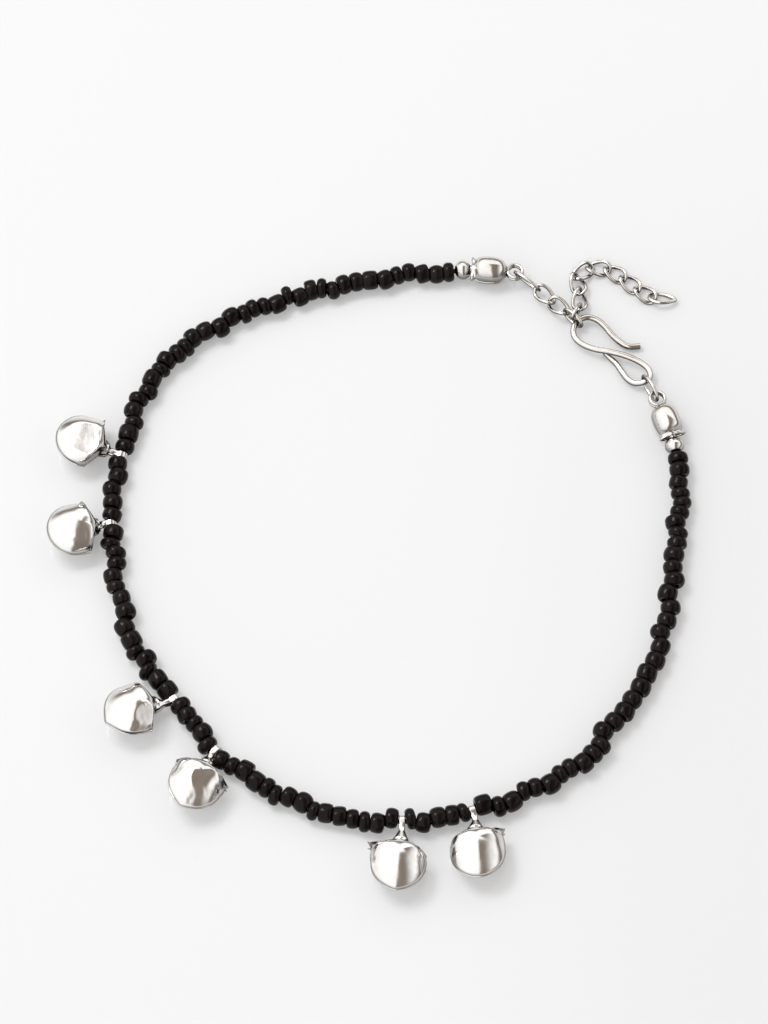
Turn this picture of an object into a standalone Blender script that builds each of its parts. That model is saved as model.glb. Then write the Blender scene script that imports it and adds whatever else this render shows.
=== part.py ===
"""Black bead anklet with six folded silver bells, lying clasped on a flat surface."""
import math
import random

import bmesh
import bpy
from mathutils import Matrix, Vector

MM = 0.001
PATH_STEPS = 12

# Glass beads and the thread they are strung on
BEAD_DIAMETER = 3.0 * MM
BEAD_END_SHARE = 0.70
BEAD_ROUND_SHARE = 0.24
BEAD_SIDES = 10
BEAD_WANDER = 0.22 * MM
BEAD_DIAMETER_SPREAD = 0.05
BEAD_SEED = 8
LAST_RUN_BEADS = 35
THREAD_DIAMETER = 0.7 * MM
KNOT_DIAMETER = 1.2 * MM
FIT_GAP = 0.25 * MM

# Plain round metal bead at each end of the string
BALL_DIAMETER = 2.9 * MM
BALL_LENGTH = 2.2 * MM
BALL_MOUTH_TURN = 62.0
BALL_PROFILE_TURNS = [50.0, 25.0, 0.0, -25.0, -50.0]
ROUND_STEPS = 12

# Bells, each stamped from one strip and folded over the thread
BELL_DIAMETER = 7.8 * MM
BELL_DEPTH = 5.6 * MM
BELL_SLIT = 0.3 * MM
BELL_SHEET = 0.3 * MM
BELL_CORNER_LIFT = 0.35 * MM
BELL_SETTLE = 0.06 * MM
NECK_WIDTH = 0.6 * MM
NECK_THROAT_WIDTH = 0.84 * MM
NECK_LOOP_TURNS = [50.0, 80.0, 110.0, 140.0, 180.0]
# beads on the run before it, share of the beaded length, turn from square to the thread, reach
BELLS = [
    {"beads": 33, "share": 0.2837, "turn": -5.0, "reach": 0.76},
    {"beads": 5, "share": 0.3335, "turn": 15.0, "reach": 0.71},
    {"beads": 15, "share": 0.4671, "turn": -16.0, "reach": 0.81},
    {"beads": 5, "share": 0.5116, "turn": 18.0, "reach": 0.79},
    {"beads": 15, "share": 0.6435, "turn": -4.0, "reach": 0.885},
    {"beads": 5, "share": 0.6890, "turn": -11.0, "reach": 0.855},
]
# turn round the bell from its foot, radius as a share of the bell's
BELL_OUTLINE = [
    {"turn": 0.0, "radius": 1.0},
    {"turn": 26.0, "radius": 1.0},
    {"turn": 52.0, "radius": 1.0},
    {"turn": 78.0, "radius": 1.0},
    {"turn": 104.0, "radius": 1.02},
    {"turn": 121.0, "radius": 1.10},
    {"turn": 133.0, "radius": 1.30},
    {"turn": 149.0, "radius": 1.06},
    {"turn": 166.0, "radius": 0.93},
    {"turn": 180.0, "radius": 0.90},
]
BELL_CORNER_TURN = 133.0
BELL_NECK_TURN = 166.0
BELL_RING_SHARES = [1.0, 0.93, 0.73, 0.40]

# Folded end caps, each closed round the knot of the thread
CAP_DIAMETER = 4.1 * MM
CAP_LENGTH = 5.35 * MM
CAP_SHEET = 0.3 * MM
CAP_SLIT = 0.2 * MM
CAP_SLIT_SHARE = 0.80
CAP_KNOT_SHARE = 0.30
CAP_LOOP_RADIUS = 1.1 * MM
CAP_LOOP_SEAT = 1.0
CAP_LOOP_WIRE = 0.5 * MM
# distance from the mouth as a share of the length, radius as a share of the outer one
CAP_PROFILE = [
    {"along": 0.92, "radius": 0.42},
    {"along": 0.80, "radius": 0.78},
    {"along": 0.54, "radius": 1.0},
    {"along": 0.26, "radius": 0.96},
    {"along": 0.10, "radius": 0.84},
    {"along": 0.0, "radius": 0.93},
]

# Wire parts of the clasp and the extension chain
LINK_WIRE = 0.55 * MM
LINK_LENGTH = 4.1 * MM
LINK_WIDTH = 2.7 * MM
LINK_GAP = 0.15 * MM
LINK_POINTS = 12
LINK_TWIST = 40.0
RING_WIRE = 0.5 * MM
RING_HALF_WIDTH = 1.4 * MM
LEAF_LENGTH = 3.9 * MM
LEAF_WIDTH = 2.5 * MM
LEAF_ROLL = -25.0
LEAF_PINCH = 0.3
HOOK_WIRE = 0.9 * MM
HOOK_STEP = 8
HELD_LINK_ROLL = 82.0
RING_SEAT = 0.3
RING_ROLLS = [105.0, 85.0]
LINK_LEAN = (LINK_WIDTH - LINK_WIRE) / 4 * math.tan(math.radians(LINK_TWIST))

# Middle of the string in plan, in millimetres, from the first cap's loop to the second's
STRING_ROUTE = [
    (21.7, 47.3), (17.7, 47.6), (13.7, 47.8), (7.7, 47.3), (0.2, 46.1), (-7.3, 44.6),
    (-14.8, 42.3), (-21.3, 39.4), (-27.8, 34.8), (-32.3, 29.1), (-35.1, 22.3),
    (-36.8, 15.3), (-37.6, 7.9), (-37.3, 2.3), (-36.4, -2.8), (-34.8, -9.5),
    (-31.8, -15.6), (-27.5, -21.4), (-23.1, -27.4), (-18.2, -31.7), (-11.8, -35.7),
    (-4.4, -38.7), (3.4, -39.3), (9.5, -39.0), (16.2, -37.3), (23.4, -34.5),
    (29.8, -30.5), (34.8, -24.7), (39.1, -18.2), (42.0, -11.4), (43.6, -4.4),
    (44.6, 3.5), (45.1, 11.7), (44.7, 18.7), (43.8, 22.1), (42.4, 26.2),
]
# Middle of the hook's wire in millimetres, from its free tip to the end of its eye
HOOK_ROUTE = [
    (40.2, 35.6, 0.6), (38.2, 35.6, 0.7), (36.4, 37.0, 0.8), (35.1, 38.6, 1.0),
    (33.9, 39.7, 1.15), (32.4, 40.1, 1.3), (30.9, 39.4, 1.35), (30.3, 38.1, 1.3),
    (30.5, 36.7, 1.3), (31.7, 35.5, 1.35), (33.5, 34.7, 1.45), (35.5, 34.3, 1.5),
    (37.7, 33.7, 1.45), (39.8, 32.8, 1.3), (41.2, 31.6, 1.3), (41.5, 30.3, 1.35),
    (40.8, 29.4, 1.5), (39.3, 29.3, 1.05), (38.2, 30.1, 0.75), (37.4, 31.4, 0.55),
    (36.6, 32.8, 0.45), (35.7, 33.8, 0.45), (34.9, 34.8, 0.45),
]
HOOK_EYE_POINT = 16
# Middle of the chain from the first ring to the link that the hook holds, in millimetres
LEAD_ROUTE = [(25.1, 44.8, 1.45), (27.2, 42.9, 1.1), (29.3, 41.0, 1.25), (31.4, 38.8, 1.5)]
# Where the first free link of the chain starts in plan, in millimetres
TAIL_START = (31.8, 42.9)
# heading of each free link in degrees, slack at its joint in wire thicknesses, roll in degrees
TAIL_LINKS = [
    {"heading": 86.0, "slack": 0.1, "roll": 30.0},
    {"heading": 104.0, "slack": 0.2, "roll": 20.0},
    {"heading": 38.0, "slack": 0.3, "roll": 0.0},
    {"heading": -4.0, "slack": 0.4, "roll": 0.0},
    {"heading": -34.0, "slack": 0.2, "roll": 0.0},
    {"heading": -42.0, "slack": 0.1, "roll": 0.0},
    {"heading": -34.0, "slack": 0.1, "roll": 0.0},
]
LEAF_HEADING = -6.0
LEAF_SLACK = 0.5


def make_collection(name):
    """Return a new collection linked to the scene."""
    collection = bpy.data.collections.new(name)
    bpy.context.scene.collection.children.link(collection)
    return collection


def clear_scene():
    """Remove every object that the scene starts with."""
    for item in list(bpy.data.objects):
        bpy.data.objects.remove(item, do_unlink=True)


def surface(name, colour, roughness, metallic):
    """Return a Principled material."""
    material = bpy.data.materials.new(name)
    material.use_nodes = True
    shader = material.node_tree.nodes["Principled BSDF"]
    shader.inputs["Base Color"].default_value = (*colour, 1.0)
    shader.inputs["Roughness"].default_value = roughness
    shader.inputs["Metallic"].default_value = metallic
    return material


def add_object(name, data, collection, material, matrix=Matrix.Identity(4)):
    """Link an object made from mesh or curve data at a place."""
    item = bpy.data.objects.new(name, data)
    item.matrix_world = matrix
    collection.objects.link(item)
    if material is not None:
        data.materials.append(material)
    return item


def mesh_from(name, bm):
    """Turn a bmesh into smooth-shaded mesh data."""
    mesh = bpy.data.meshes.new(name)
    bm.to_mesh(mesh)
    bm.free()
    mesh.shade_smooth()
    return mesh


def smooth_path(points, steps):
    """Read a smooth curve through the points, with a number of steps between each two."""
    ends = [points[0] * 2 - points[1]] + points + [points[-1] * 2 - points[-2]]
    path = []
    for index in range(1, len(ends) - 2):
        before, start, stop, after = ends[index - 1:index + 3]
        for step in range(steps):
            t = step / steps
            path.append(0.5 * (
                2 * start + (stop - before) * t
                + (2 * before - 5 * start + 4 * stop - after) * t ** 2
                + (3 * start - before - 3 * stop + after) * t ** 3))
    path.append(points[-1])
    return path


def route_points(route, height=None):
    """Read a route given in millimetres, level at a height where it has none of its own."""
    return [Vector((point[0] * MM, point[1] * MM, point[2] * MM if height is None else height))
            for point in route]


def route_path(route, height=None):
    """Smooth a route given in millimetres."""
    return smooth_path(route_points(route, height), PATH_STEPS)


def path_length(path):
    """Return the length of a path."""
    return sum((b - a).length for a, b in zip(path, path[1:]))


def along(path, distance):
    """Return the point and the direction of a path at a distance from its start."""
    left = max(distance, 0.0)
    for a, b in zip(path, path[1:]):
        step = (b - a).length
        if left <= step:
            return a.lerp(b, left / step), (b - a).normalized()
        left -= step
    a, b = path[-2:]
    return b + (b - a).normalized() * left, (b - a).normalized()


def level_frame(point, direction, height):
    """Return a frame with X square to a level direction on its right, Y along it and Z up."""
    right = Vector((direction.y, -direction.x, 0.0)).normalized()
    ahead = Vector((direction.x, direction.y, 0.0)).normalized()
    frame = Matrix((right, ahead, Vector((0.0, 0.0, 1.0)))).transposed().to_4x4()
    frame.translation = (point.x, point.y, height)
    return frame


FLAT_SHARE = math.cos(math.pi / BEAD_SIDES)
STRING_HEIGHT = BEAD_DIAMETER / 2 * FLAT_SHARE
STRING_PATH = route_path(STRING_ROUTE, STRING_HEIGHT)
CAP_LOOP_REACH = CAP_LENGTH + CAP_LOOP_RADIUS * CAP_LOOP_SEAT
BALL_STATION = CAP_LOOP_REACH + FIT_GAP + BALL_LENGTH / 2
BEADS_START = BALL_STATION + BALL_LENGTH / 2 + FIT_GAP
BEADS_END = path_length(STRING_PATH) - BEADS_START
BELL_ROOM = NECK_WIDTH + 2 * FIT_GAP


def string_height(distance):
    """Return the height of the thread, which climbs at each end to the middle of its cap."""
    left = min(distance, path_length(STRING_PATH) - distance)
    climb = min(max((BEADS_START - left) / (BEADS_START - CAP_LOOP_REACH), 0.0), 1.0)
    return STRING_HEIGHT + climb * (CAP_DIAMETER / 2 - STRING_HEIGHT)


def bell_station(bell):
    """Return the distance along the string at which a bell hangs."""
    return BEADS_START + (BEADS_END - BEADS_START) * bell["share"]


def bead_runs():
    """Return the start, the end and the number of beads of each run between the bells."""
    marks = [bell_station(bell) for bell in BELLS]
    starts = [BEADS_START] + [mark + BELL_ROOM / 2 for mark in marks]
    stops = [mark - BELL_ROOM / 2 for mark in marks] + [BEADS_END]
    counts = [bell["beads"] for bell in BELLS] + [LAST_RUN_BEADS]
    return list(zip(starts, stops, counts))


def string_sections():
    """Return distance, sideways shift, height and radius of each ring of the strung beads."""
    rng = random.Random(BEAD_SEED)
    thread = THREAD_DIAMETER / 2
    knot_step = KNOT_DIAMETER / 2
    first = CAP_LOOP_REACH - CAP_LENGTH * CAP_KNOT_SHARE
    mouth = CAP_LOOP_REACH
    knot = [(first, thread), (first + knot_step * 0.5, knot_step),
            (first + knot_step * 1.5, knot_step), (first + knot_step * 2.0, thread), (mouth, thread)]
    sections = [(distance, 0.0, string_height(distance), radius) for distance, radius in knot]
    for start, stop, count in bead_runs():
        pitch = (stop - start) / count
        radii = [BEAD_DIAMETER / 2 * (1 + BEAD_DIAMETER_SPREAD * rng.uniform(-1, 1))
                 for _ in range(count)]
        shifts = [BEAD_WANDER * rng.uniform(-1, 1) for _ in range(count)]
        sections.append((start, 0.0, STRING_HEIGHT, thread))
        for index in range(count):
            near = start + pitch * index
            radius = radii[index]
            shift = shifts[index]
            before = max(index - 1, 0)
            end_radius = BEAD_END_SHARE * min(radius, radii[before])
            end_shift = (shift + shifts[before]) / 2
            sections.append((near, end_shift, STRING_HEIGHT, end_radius))
            for share in (BEAD_ROUND_SHARE, 1 - BEAD_ROUND_SHARE):
                sections.append((near + pitch * share, shift, radius * FLAT_SHARE, radius))
        sections.append((stop, shifts[-1], STRING_HEIGHT, BEAD_END_SHARE * radii[-1]))
        sections.append((stop, 0.0, STRING_HEIGHT, thread))
    total = path_length(STRING_PATH)
    for distance, radius in reversed(knot):
        sections.append((total - distance, 0.0, string_height(distance), radius))
    return sections


def section_frame(section):
    """Return the frame of one ring: its plane square to the string, scaled to its radius."""
    distance, shift, height, radius = section
    point, direction = along(STRING_PATH, distance)
    frame = level_frame(point, direction, height)
    upright = Matrix.Rotation(math.pi / 2, 4, "X")
    turn = Matrix.Rotation(math.pi / BEAD_SIDES, 4, "Z")
    return frame @ Matrix.Translation((shift, 0.0, 0.0)) @ upright @ turn @ Matrix.Scale(radius, 4)


def make_bead_string(collection):
    """Glass beads strung close together, drawn as one body with the thread."""
    sections = string_sections()
    bm = bmesh.new()
    bmesh.ops.create_circle(bm, radius=1.0, segments=BEAD_SIDES)
    frame = section_frame(sections[0])
    bmesh.ops.transform(bm, matrix=frame, verts=bm.verts)
    ring = list(bm.edges)
    bmesh.ops.contextual_create(bm, geom=ring)
    for section in sections[1:]:
        grown = bmesh.ops.extrude_edge_only(bm, edges=ring)["geom"]
        ring = [part for part in grown if isinstance(part, bmesh.types.BMEdge)]
        verts = [part for part in grown if isinstance(part, bmesh.types.BMVert)]
        following = section_frame(section)
        bmesh.ops.transform(bm, matrix=following @ frame.inverted(), verts=verts)
        frame = following
    bmesh.ops.contextual_create(bm, geom=ring)
    bmesh.ops.recalc_face_normals(bm, faces=bm.faces)
    black = surface("black_glass", (0.012, 0.010, 0.010), 0.18, 0.0)
    add_object("bead_string", mesh_from("bead_string", bm), collection, black)


def turned(name, profile, closed, collection, material, matrix):
    """Turn a profile of radius and height round its own upright axis."""
    bm = bmesh.new()
    verts = [bm.verts.new((radius, 0.0, height)) for radius, height in profile]
    for a, b in zip(verts, verts[1:]):
        bm.edges.new((a, b))
    if closed:
        bm.edges.new((verts[-1], verts[0]))
    item = add_object(name, mesh_from(name, bm), collection, material, matrix)
    screw = item.modifiers.new("turn", "SCREW")
    screw.axis = "Z"
    screw.angle = 2 * math.pi
    screw.steps = ROUND_STEPS
    screw.render_steps = ROUND_STEPS
    screw.use_merge_vertices = True
    screw.merge_threshold = 0.00001
    return item


def axis_frame(point, direction):
    """Return a frame with Z along a direction."""
    return Matrix.Translation(point) @ direction.to_track_quat("Z", "Y").to_matrix().to_4x4()


def string_end(number):
    """Return the path of the string read from one of its ends."""
    return STRING_PATH if number == 1 else STRING_PATH[::-1]


def make_silver_ball(number, collection, material):
    """Round drilled metal bead that closes the row of glass beads."""
    hole = THREAD_DIAMETER / 2 + FIT_GAP
    point, direction = along(string_end(number), BALL_STATION)
    point.z = string_height(BALL_STATION)
    slope = (CAP_DIAMETER / 2 - STRING_HEIGHT) / (BEADS_START - CAP_LOOP_REACH)
    direction = (direction - Vector((0.0, 0.0, slope))).normalized()
    profile = [(hole, BALL_LENGTH / 2)]
    for degrees in BALL_PROFILE_TURNS:
        turn = math.radians(degrees)
        profile.append((BALL_DIAMETER / 2 * math.cos(turn),
                        BALL_LENGTH / 2 * math.sin(turn) / math.sin(math.radians(BALL_MOUTH_TURN))))
    profile.append((hole, -BALL_LENGTH / 2))
    turned("silver_ball_%d" % number, profile, True, collection, material,
           axis_frame(point, direction))


def cap_profile():
    """Return the wall of an end cap: down its outside, in at the mouth and up its inside."""
    radius = CAP_DIAMETER / 2
    mouth = KNOT_DIAMETER / 2 + FIT_GAP / 2
    outside = [(row["radius"] * radius, row["along"] * CAP_LENGTH) for row in CAP_PROFILE]
    inside = [(r - CAP_SHEET, max(z, CAP_SHEET)) for r, z in reversed(outside)]
    return ([(0.0, CAP_LENGTH), (CAP_LOOP_WIRE, CAP_LENGTH)] + outside + [(mouth, 0.0), (mouth, CAP_SHEET)]
            + inside + [(0.0, CAP_LENGTH - 2 * CAP_SHEET)])


def make_end_cap(number, collection, cutters, material):
    """Two cups folded shut over the knot, with a loop on each."""
    name = "end_cap_%d" % number
    path = string_end(number)
    loop_point = along(path, 0.0)[0]
    mouth_point = along(path, CAP_LOOP_REACH)[0]
    lift = Vector((0.0, 0.0, CAP_DIAMETER / 2 - STRING_HEIGHT))
    direction = (loop_point - mouth_point).normalized()
    frame = axis_frame(mouth_point + lift, direction)
    cap = turned(name, cap_profile(), False, collection, material, frame)
    bm = bmesh.new()
    bmesh.ops.create_cube(bm, size=1.0)
    slit_length = CAP_LENGTH * CAP_SLIT_SHARE
    bmesh.ops.scale(bm, vec=(CAP_DIAMETER * 1.2, CAP_SLIT, slit_length), verts=bm.verts)
    bmesh.ops.translate(bm, vec=(0.0, 0.0, slit_length / 2 - CAP_SHEET), verts=bm.verts)
    slit = add_object(name + "_slit", mesh_from(name + "_slit", bm), cutters, None, frame)
    hide_cutter(slit)
    boolean(cap, slit, "DIFFERENCE")
    for side in (-1, 1):
        offset = side * (CAP_LOOP_WIRE / 2 + CAP_SLIT / 4)
        upright = Matrix.Rotation(math.pi / 2, 4, "X")
        place = frame @ Matrix.Translation((0.0, offset, CAP_LOOP_REACH)) @ upright
        bpy.ops.mesh.primitive_torus_add(
            major_segments=ROUND_STEPS, minor_segments=5,
            major_radius=CAP_LOOP_RADIUS, minor_radius=CAP_LOOP_WIRE / 2)
        loop = bpy.context.object
        loop.name = "%s_loop_%s" % (name, "left" if side < 0 else "right")
        loop.matrix_world = place
        for owner in list(loop.users_collection):
            owner.objects.unlink(loop)
        cutters.objects.link(loop)
        hide_cutter(loop)
        boolean(cap, loop, "UNION")


def hide_cutter(item):
    """Keep a tool object out of the model."""
    item.hide_render = True
    item.display_type = "WIRE"


def boolean(item, tool, operation):
    """Cut or join one object with another."""
    modifier = item.modifiers.new(operation.lower(), "BOOLEAN")
    modifier.operation = operation
    modifier.solver = "EXACT"
    modifier.object = tool


def bell_tilt(reach, turn):
    """Return the slope at which a bell leans on the thread and touches the surface."""
    tilt = 0.0
    for _ in range(12):
        low = math.hypot(BELL_DIAMETER / 2 * math.sin(tilt), (BELL_DEPTH / 2) * math.cos(tilt))
        tilt = math.atan((low + BELL_SETTLE - STRING_HEIGHT) / (reach * math.cos(turn)))
    return tilt


def bell_half(middle, turn):
    """Return one half of a bell: a domed cup and its half of the neck, round the thread."""
    radius = BELL_DIAMETER / 2
    rise = BELL_DEPTH / 2 - BELL_SLIT / 2
    rows = BELL_OUTLINE + [{"turn": -row["turn"], "radius": row["radius"]}
                           for row in reversed(BELL_OUTLINE[1:-1])]
    bm = bmesh.new()
    rings = []
    for share in BELL_RING_SHARES:
        ring = []
        for row in rows:
            angle = math.radians(row["turn"])
            spread = radius * share * (1 + (row["radius"] - 1) * share ** 4)
            height = BELL_SLIT / 2 + rise * math.sqrt(1 - share ** 2)
            if share == 1.0 and abs(row["turn"]) == BELL_CORNER_TURN:
                height += BELL_CORNER_LIFT
            if share == 1.0 and abs(row["turn"]) >= BELL_NECK_TURN:
                height += BELL_SHEET
            ring.append(bm.verts.new((middle + spread * math.cos(angle), spread * math.sin(angle), height)))
        rings.append(ring)
    crown = bm.verts.new((middle, 0.0, BELL_SLIT / 2 + rise))
    count = len(rows)
    for outer, inner in zip(rings, rings[1:]):
        for index in range(count):
            following = (index + 1) % count
            bm.faces.new((outer[index], outer[following], inner[following], inner[index]))
    for index in range(count):
        bm.faces.new((rings[-1][index], rings[-1][(index + 1) % count], crown))
    neck = [vert for vert, row in zip(rings[0], rows) if abs(row["turn"]) >= BELL_NECK_TURN]
    edges = [edge for edge in bm.edges if edge.verts[0] in neck and edge.verts[1] in neck]
    loop_radius = THREAD_DIAMETER / 2 + FIT_GAP + BELL_SHEET
    shoulder = BELL_SLIT / 2 + BELL_SHEET
    places = [(2 * loop_radius, shoulder, NECK_THROAT_WIDTH / 2)]
    for degrees in NECK_LOOP_TURNS:
        angle = math.radians(degrees)
        places.append((loop_radius * math.cos(angle), loop_radius * math.sin(angle), NECK_WIDTH / 2))
    for out, height, half_width in places:
        grown = bmesh.ops.extrude_edge_only(bm, edges=edges)["geom"]
        edges = [part for part in grown if isinstance(part, bmesh.types.BMEdge)]
        for vert in grown:
            if isinstance(vert, bmesh.types.BMVert):
                side = (vert.co.y > 1e-6) - (vert.co.y < -1e-6)
                vert.co = (out, side * half_width, height)
    rim = middle - radius * BELL_OUTLINE[-1]["radius"]
    for vert in bm.verts:
        bend = min(max((vert.co.x - loop_radius) / (rim - loop_radius), 0.0), 1.0)
        vert.co.rotate(Matrix.Rotation(turn * bend, 3, "Z"))
    bmesh.ops.recalc_face_normals(bm, faces=bm.faces)
    if crown.normal.z < 0:
        bmesh.ops.reverse_faces(bm, faces=bm.faces)
    return bm


def make_bell(number, bell, collection, material):
    """Two stamped cups face to face over a slit, on one strip folded over the thread."""
    reach = bell["reach"] * BELL_DIAMETER
    turn = math.radians(bell["turn"])
    tilt = bell_tilt(reach, turn)
    point, direction = along(STRING_PATH, bell_station(bell))
    frame = level_frame(point, direction, STRING_HEIGHT) @ Matrix.Rotation(-tilt, 4, "Y")
    name = "bell_%d" % number
    mesh = mesh_from(name, bell_half(reach / math.cos(tilt), turn))
    item = add_object(name, mesh, collection, material, frame)
    mirror = item.modifiers.new("other half", "MIRROR")
    mirror.use_axis = (False, False, True)
    mirror.merge_threshold = 0.00001
    wall = item.modifiers.new("sheet", "SOLIDIFY")
    wall.thickness = BELL_SHEET
    wall.offset = -1.0


def wire_curve(name, points, wire, cyclic, resolution, collection, material, matrix=Matrix.Identity(4)):
    """Bend round wire along a run of points."""
    curve = bpy.data.curves.new(name, "CURVE")
    curve.dimensions = "3D"
    curve.bevel_depth = wire / 2
    curve.bevel_resolution = resolution
    curve.use_fill_caps = not cyclic
    spline = curve.splines.new("POLY")
    spline.points.add(len(points) - 1)
    for target, point in zip(spline.points, points):
        target.co = (*point, 1.0)
    spline.use_cyclic_u = cyclic
    return add_object(name, curve, collection, material, matrix)


def oval_points(half_length, half_width, twist_height, count):
    """Return a closed oval in the XY plane whose two ends lean opposite ways."""
    points = []
    for index in range(count):
        angle = 2 * math.pi * index / count
        points.append((half_length * math.cos(angle), half_width * math.sin(angle),
                       twist_height * math.sin(2 * angle)))
    return points


def wire_frame(start, end, roll):
    """Return a frame midway between two points, with X from one to the other."""
    ahead = (end - start).normalized()
    turn = ahead.to_track_quat("X", "Z").to_matrix().to_4x4()
    return Matrix.Translation((start + end) / 2) @ turn @ Matrix.Rotation(roll, 4, "X")


def make_chain_link(number, start, end, lean, roll, collection, material):
    """Oval link of round wire, twisted so that a row of them lies flat."""
    half_length = (LINK_LENGTH - LINK_WIRE) / 2
    half_width = (LINK_WIDTH - LINK_WIRE) / 2
    wire_curve("chain_link_%d" % number, oval_points(half_length, half_width, lean, LINK_POINTS),
               LINK_WIRE, True, 1, collection, material, wire_frame(start, end, math.radians(roll)))


def make_jump_ring(number, start, end, roll, collection, material):
    """Oval ring of round wire that stands on edge between two loops."""
    half_length = (end - start).length / 2 + (RING_WIRE + LINK_GAP) / 2
    wire_curve("jump_ring_%d" % number, oval_points(half_length, RING_HALF_WIDTH, 0.0, LINK_POINTS),
               RING_WIRE, True, 1, collection, material, wire_frame(start, end, math.radians(roll)))


def make_leaf(start, end, collection, material):
    """Open leaf of bent wire that ends the chain, round at its root and pinched at its tip."""
    half = LEAF_LENGTH / 2
    points = []
    for index in range(LINK_POINTS):
        angle = 2 * math.pi * index / LINK_POINTS
        taper = ((1 - math.cos(angle)) / 2) ** LEAF_PINCH
        points.append((half * math.cos(angle), LEAF_WIDTH / 2 * math.sin(angle) * taper, 0.0))
    height = Vector((0.0, 0.0, rest_height(points, LEAF_ROLL)))
    level = Vector((1.0, 1.0, 0.0))
    frame = wire_frame(start * level + height, end * level + height, math.radians(LEAF_ROLL))
    shift = half - (end - start).length / 2 - (LINK_WIRE + LINK_GAP) / 2
    wire_curve("leaf_drop", points, LINK_WIRE, True, 1, collection, material,
               frame @ Matrix.Translation((shift, 0.0, 0.0)))


def chain_joints(path, pitch, count):
    """Step along a path in straight strides of one length."""
    joints = [path[0]]
    for point in path:
        while (point - joints[-1]).length >= pitch and len(joints) <= count:
            joints.append(joints[-1] + (point - joints[-1]).normalized() * pitch)
    onward = (path[-1] - path[-2]).normalized()
    while len(joints) <= count:
        joints.append(joints[-1] + onward * pitch)
    return joints


LINK_PITCH = LINK_LENGTH - 2 * LINK_WIRE - LINK_GAP
LEAD_JOINTS = chain_joints(route_path(LEAD_ROUTE), LINK_PITCH, 3)


def cap_loop_middle(number):
    """Return the middle of the loops of an end cap."""
    point = string_end(number)[0]
    return Vector((point.x, point.y, CAP_DIAMETER / 2))


def make_lead(collection, material):
    """First ring and the three links up to the one that the hook holds."""
    joints = LEAD_JOINTS
    loop = cap_loop_middle(1)
    toward = (joints[0] - loop).normalized()
    seat = loop + toward * CAP_LOOP_RADIUS * RING_SEAT
    make_jump_ring(1, seat, joints[0], RING_ROLLS[0], collection, material)
    make_chain_link(1, joints[0], joints[1], -LINK_LEAN, 0.0, collection, material)
    make_chain_link(2, joints[1], joints[2], -LINK_LEAN, 0.0, collection, material)
    make_chain_link(3, joints[2], joints[3], 0.0, HELD_LINK_ROLL, collection, material)


def heading_vector(degrees):
    """Return a level direction."""
    return Vector((math.cos(math.radians(degrees)), math.sin(math.radians(degrees)), 0.0))


def rest_height(points, roll):
    """Return the height at which a rolled loop of link wire just touches the surface."""
    turn = math.radians(roll)
    return LINK_WIRE / 2 - min(y * math.sin(turn) + z * math.cos(turn) for _, y, z in points)


def upper_wire_of_held_link():
    """Return the middle of the upper side of the link that the hook holds."""
    start, stop = LEAD_JOINTS[2:4]
    ahead = (stop - start).normalized()
    roll = math.radians(HELD_LINK_ROLL)
    level = Vector((-ahead.y, ahead.x, 0.0)).normalized()
    across = level * math.cos(roll) + Vector((0.0, 0.0, math.sin(roll)))
    return (start + stop) / 2 + across * (LINK_WIDTH - LINK_WIRE) / 2


def make_tail(collection, material):
    """Free end of the chain, from the upper wire of the held link to the leaf."""
    upper_wire = upper_wire_of_held_link()
    height = LINK_LEAN + LINK_WIRE / 2
    drop = upper_wire.z - height
    first = route_points([TAIL_START], upper_wire.z)[0]
    onward = (first - upper_wire).normalized()
    toward = (onward * math.sqrt(LINK_PITCH ** 2 - drop ** 2) - Vector((0.0, 0.0, drop))).normalized()
    start = upper_wire - toward * (LINK_WIRE + LINK_GAP) / 2
    joint = start + toward * LINK_PITCH
    make_chain_link(4, start, joint, 0.0, 90.0, collection, material)
    before = toward
    half_length = (LINK_LENGTH - LINK_WIRE) / 2
    half_width = (LINK_WIDTH - LINK_WIRE) / 2
    points = oval_points(half_length, half_width, LINK_LEAN, LINK_POINTS)
    for number, row in enumerate(TAIL_LINKS, 5):
        ahead = heading_vector(row["heading"])
        start = joint - before * row["slack"] * LINK_WIRE
        start.z = rest_height(points, row["roll"])
        joint = start + ahead * LINK_PITCH
        make_chain_link(number, start, joint, LINK_LEAN, row["roll"], collection, material)
        before = ahead
    start = joint - before * LEAF_SLACK * LINK_WIRE
    make_leaf(start, start + heading_vector(LEAF_HEADING) * LINK_PITCH, collection, material)


def make_hook_ring(collection, material):
    """Second ring, which joins the eye of the hook to the second end cap."""
    loop = cap_loop_middle(2)
    eye = Vector([value * MM for value in HOOK_ROUTE[HOOK_EYE_POINT]])
    toward = (loop - eye).normalized()
    make_jump_ring(2, eye - toward * (HOOK_WIRE + LINK_GAP) / 2,
                   loop - toward * CAP_LOOP_RADIUS * RING_SEAT, RING_ROLLS[1], collection, material)


def main():
    clear_scene()
    collection = make_collection("bell_anklet")
    cutters = make_collection("cutters")
    silver = surface("bright_silver", (0.86, 0.85, 0.83), 0.12, 1.0)
    make_bead_string(collection)
    for number in (1, 2):
        make_silver_ball(number, collection, silver)
        make_end_cap(number, collection, cutters, silver)
    for number, bell in enumerate(BELLS, 1):
        make_bell(number, bell, collection, silver)
    hook_path = route_path(HOOK_ROUTE)
    wire_curve("hook", hook_path[::HOOK_STEP] + [hook_path[-1]], HOOK_WIRE, False, 2, collection, silver)
    make_lead(collection, silver)
    make_tail(collection, silver)
    make_hook_ring(collection, silver)


if __name__ == "__main__":
    main()
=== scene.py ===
"""Black glass bead anklet with six folded silver bells, laid clasped on a pale glossy table."""
import math
import random

import bmesh
import bpy
from mathutils import Matrix, Vector, noise


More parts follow.
